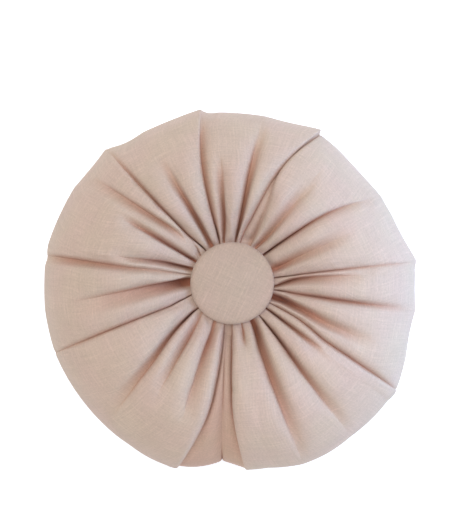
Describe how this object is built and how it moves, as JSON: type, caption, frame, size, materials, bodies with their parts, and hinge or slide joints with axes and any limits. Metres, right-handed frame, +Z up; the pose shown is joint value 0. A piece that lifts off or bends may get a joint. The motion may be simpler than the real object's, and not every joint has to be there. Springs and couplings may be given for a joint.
{
  "type": "round gathered cushion",
  "caption": "Round filled linen cushion, gathered in uneven folds to a large fabric-covered button in the middle of its face.",
  "frame": {"origin": "under the middle of the cushion's outline, on the surface that it lies on", "axes": "+Z up, out of the face with the button; +X to the right and +Y to the top as the face is seen, with the cover's seam towards -Y"},
  "size_m": [0.4018, 0.3864, 0.1174],
  "materials": {
    "cover_linen": "matt, dusty pink plain-weave linen",
    "button_linen": "matt, dusty pink plain-weave linen, stretched over a stiff disc"
  },
  "bodies": {
    "root": {"cover": "cover_linen", "button": "button_linen"}
  },
  "joints": []
}
